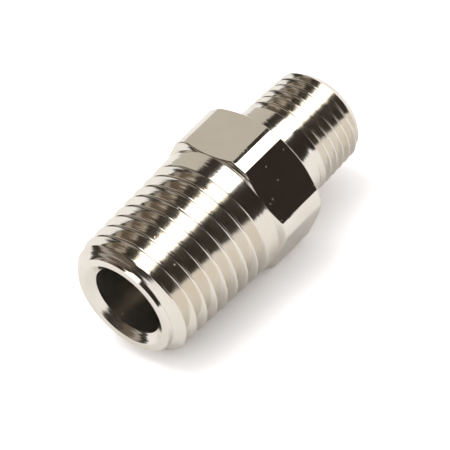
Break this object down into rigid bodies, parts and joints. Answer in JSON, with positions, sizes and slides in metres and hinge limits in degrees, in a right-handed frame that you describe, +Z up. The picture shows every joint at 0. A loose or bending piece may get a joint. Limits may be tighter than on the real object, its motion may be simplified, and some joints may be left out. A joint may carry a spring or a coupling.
{
  "type": "hex reducing nipple",
  "caption": "Nickel-plated brass hex reducing nipple: a through-bored pipe fitting with a hexagon collar between a larger and a smaller male taper thread.",
  "frame": {"origin": "on the thread axis, half-way between the two end faces", "axes": "+X along the thread axis from the large thread to the small one, +Z up, square to a pair of the hexagon's flats, one of which faces down"},
  "size_m": [0.0294, 0.0148, 0.0138],
  "materials": {
    "nickel_plated_brass": "bright nickel plating over turned brass, fine lathe marks"
  },
  "bodies": {
    "root": {"hex_nipple_body": "nickel_plated_brass"}
  },
  "joints": []
}
